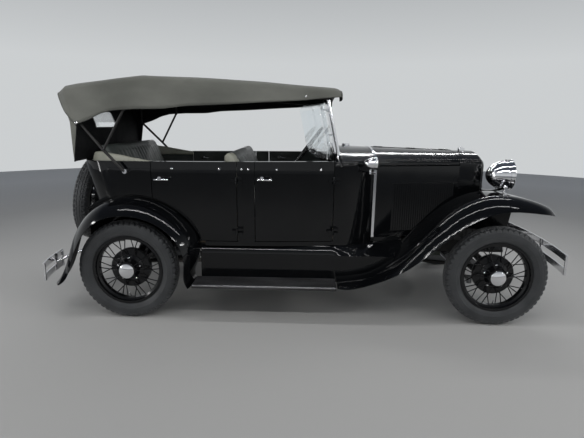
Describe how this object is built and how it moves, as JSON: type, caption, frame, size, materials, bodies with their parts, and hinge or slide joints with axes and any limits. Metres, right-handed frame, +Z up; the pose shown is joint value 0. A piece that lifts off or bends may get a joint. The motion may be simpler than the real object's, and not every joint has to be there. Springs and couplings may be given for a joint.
{
  "type": "touring car",
  "caption": "Open four-door vintage touring car with folding cloth top, louvred hood, wire wheels, running boards and a rear-mounted spare.",
  "frame": {"origin": "on the ground under the middle of the car's length and width", "axes": "+X forward along the car, +Y to the car's left, +Z up"},
  "size_m": [3.7998, 1.6966, 1.7517],
  "materials": {
    "body_paint": "gloss black enamel",
    "frame_paint": "satin black chassis paint",
    "wheel_paint": "gloss black enamel on wire wheels",
    "chrome": "polished plating",
    "steel": "plain forged and drawn steel",
    "engine_iron": "painted castings",
    "radiator_metal": "dark tubes and fins",
    "exhaust_metal": "weathered sheet steel",
    "tyre_rubber": "moulded tread and walls",
    "mat_rubber": "ribbed mat",
    "canvas": "woven grey-olive top cloth",
    "seat_leather": "pleated dark grey-green hide",
    "floor_wood": "oiled boards",
    "pane": "clear plate glass",
    "lamp_glass": "fluted lamp glass",
    "wheel_rim_plastic": "hard black rim"
  },
  "bodies": {
    "car": {"chassis_frame": "frame_paint", "front_axle": "frame_paint", "rear_axle": "frame_paint", "engine_block": "engine_iron", "exhaust": "exhaust_metal", "radiator_core": "radiator_metal", "radiator_shell": "body_paint", "cowl": "body_paint", "cowl_band": "chrome", "floor": "floor_wood", "front_fenders": "body_paint", "rear_fenders": "body_paint", "running_boards": "mat_rubber", "splash_aprons": "body_paint", "windshield_frame": "chrome", "windshield_glass": "pane", "wind_wings": "pane", "top_canopy": "canvas", "top_irons": "frame_paint", "rear_window": "pane", "steering_column": "frame_paint", "levers_and_pedals": "steel", "front_bumper": "chrome", "rear_bumpers": "chrome", "headlamps": "chrome", "lamp_lenses": "lamp_glass", "tail_lamps": "chrome", "body_tub": "body_paint", "body_sides": "body_paint", "hood_side_right": "body_paint", "hood_side_left": "body_paint", "spare_tyre": "tyre_rubber", "spare_wheel": "wheel_paint", "front_seat_cushion": "seat_leather", "front_seat_back": "seat_leather", "rear_seat_cushion": "seat_leather", "rear_seat_back": "seat_leather"},
    "door_front_right": {"door_front_right": "body_paint"},
    "door_front_left": {"door_front_left": "body_paint"},
    "door_rear_right": {"door_rear_right": "body_paint"},
    "door_rear_left": {"door_rear_left": "body_paint"},
    "hood_top_right": {"hood_top_right": "body_paint"},
    "hood_top_left": {"hood_top_left": "body_paint"},
    "knuckle_right": {"knuckle_right": "steel"},
    "knuckle_left": {"knuckle_left": "steel"},
    "tie_rod": {"tie_rod": "steel"},
    "pitman_arm": {"pitman_arm": "steel"},
    "drag_link": {"drag_link": "steel"},
    "steering_wheel": {"steering_wheel": "wheel_rim_plastic"},
    "front_wheel_right": {"tyre_front_right": "tyre_rubber", "wheel_front_right": "wheel_paint"},
    "front_wheel_left": {"tyre_front_left": "tyre_rubber", "wheel_front_left": "wheel_paint"},
    "rear_wheel_right": {"tyre_rear_right": "tyre_rubber", "wheel_rear_right": "wheel_paint"},
    "rear_wheel_left": {"tyre_rear_left": "tyre_rubber", "wheel_rear_left": "wheel_paint"}
  },
  "joints": [
    {"name": "door_front_right_hinge", "type": "hinge", "parent": "car", "child": "door_front_right", "pos_m": [0.2235, -0.63074, 0.825], "axis": [0, 0, 1], "range_deg": [0, 65]},
    {"name": "door_rear_right_hinge", "type": "hinge", "parent": "car", "child": "door_rear_right", "pos_m": [-0.4675, -0.68072, 0.825], "axis": [0, 0, 1], "range_deg": [0, 65]},
    {"name": "door_front_left_hinge", "type": "hinge", "parent": "car", "child": "door_front_left", "pos_m": [0.2235, 0.63074, 0.825], "axis": [0, 0, -1], "range_deg": [0, 65]},
    {"name": "door_rear_left_hinge", "type": "hinge", "parent": "car", "child": "door_rear_left", "pos_m": [-0.4675, 0.68072, 0.825], "axis": [0, 0, -1], "range_deg": [0, 65]},
    {"name": "hood_top_right_hinge", "type": "hinge", "parent": "car", "child": "hood_top_right", "pos_m": [0.552, 0, 1.226], "axis": [-0.9995, 0, 0.0308], "range_deg": [0, 65]},
    {"name": "hood_top_left_hinge", "type": "hinge", "parent": "car", "child": "hood_top_left", "pos_m": [0.552, 0, 1.226], "axis": [0.9995, 0, -0.0308], "range_deg": [0, 65]},
    {"name": "steer_right", "type": "hinge", "parent": "car", "child": "knuckle_right", "pos_m": [1.379, -0.612, 0.361], "axis": [0, 0, 1], "range_deg": [-30, 30]},
    {"name": "steer_left", "type": "hinge", "parent": "car", "child": "knuckle_left", "pos_m": [1.379, 0.612, 0.361], "axis": [0, 0, 1], "range_deg": [-30.5, 30.5]},
    {"name": "tie_rod_pivot", "type": "hinge", "parent": "knuckle_right", "child": "tie_rod", "pos_m": [1.239, -0.612, 0.284], "axis": [0, 0, 1], "range_deg": [-30.5, 30.5]},
    {"name": "pitman_pivot", "type": "hinge", "parent": "car", "child": "pitman_arm", "pos_m": [0.746, 0.382, 0.629], "axis": [0, -1, 0], "range_deg": [-22, 22]},
    {"name": "drag_link_pivot", "type": "hinge", "parent": "pitman_arm", "child": "drag_link", "pos_m": [0.746, 0.41, 0.448], "axis": [0, -1, 0], "range_deg": [-22, 22]},
    {"name": "steering_wheel_turn", "type": "hinge", "parent": "car", "child": "steering_wheel", "pos_m": [0.035, 0.35, 1.201], "axis": [-0.7965, 0, 0.6046], "range_deg": [-340, 340]},
    {"name": "front_wheel_right_spin", "type": "hinge", "parent": "knuckle_right", "child": "front_wheel_right", "pos_m": [1.379, -0.711, 0.361], "axis": [0, 1, 0], "continuous": true},
    {"name": "front_wheel_left_spin", "type": "hinge", "parent": "knuckle_left", "child": "front_wheel_left", "pos_m": [1.379, 0.711, 0.361], "axis": [0, 1, 0], "continuous": true},
    {"name": "rear_wheel_right_spin", "type": "hinge", "parent": "car", "child": "rear_wheel_right", "pos_m": [-1.25, -0.711, 0.361], "axis": [0, 1, 0], "continuous": true},
    {"name": "rear_wheel_left_spin", "type": "hinge", "parent": "car", "child": "rear_wheel_left", "pos_m": [-1.25, 0.711, 0.361], "axis": [0, 1, 0], "continuous": true}
  ],
  "couplings": [
    {"joint": "steer_left", "follows": "steer_right", "ratio": 1},
    {"joint": "tie_rod_pivot", "follows": "steer_right", "ratio": -1},
    {"joint": "pitman_pivot", "follows": "steer_right", "ratio": 0.71823},
    {"joint": "drag_link_pivot", "follows": "steer_right", "ratio": -0.71823},
    {"joint": "steering_wheel_turn", "follows": "steer_right", "ratio": 11.25}
  ]
}
